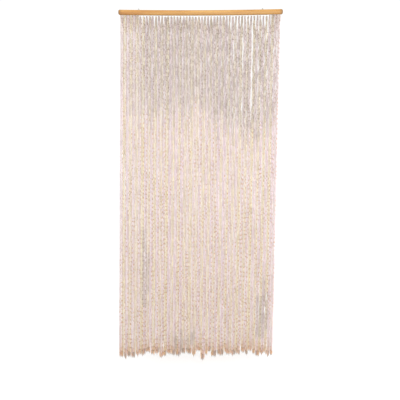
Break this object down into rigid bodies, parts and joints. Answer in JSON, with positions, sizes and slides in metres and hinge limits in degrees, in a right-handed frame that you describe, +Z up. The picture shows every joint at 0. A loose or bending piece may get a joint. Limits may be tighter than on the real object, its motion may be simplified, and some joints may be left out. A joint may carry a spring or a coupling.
{
  "type": "bead curtain on a hanging rod",
  "caption": "Door curtain of whitewashed tube-bead strands in two staggered rows under a rounded wooden hanging bar with small wire eyes.",
  "frame": {"origin": "middle of the bar's flat back, which rests against the lintel or wall", "axes": "+Z up, +Y out of the bar's back towards the wall, the curtain faces -Y, +X along the bar to the viewer's right"},
  "size_m": [0.9365, 0.026, 1.9994],
  "materials": {
    "pine": "honey varnish, satin",
    "whitewash": "whitewashed cane, matte",
    "steel": "dull zinc wire"
  },
  "bodies": {
    "root": {"header_bar": "pine", "strands_front": "whitewash", "strands_back": "whitewash", "screw_eye_left": "steel", "screw_eye_right": "steel"}
  },
  "joints": []
}
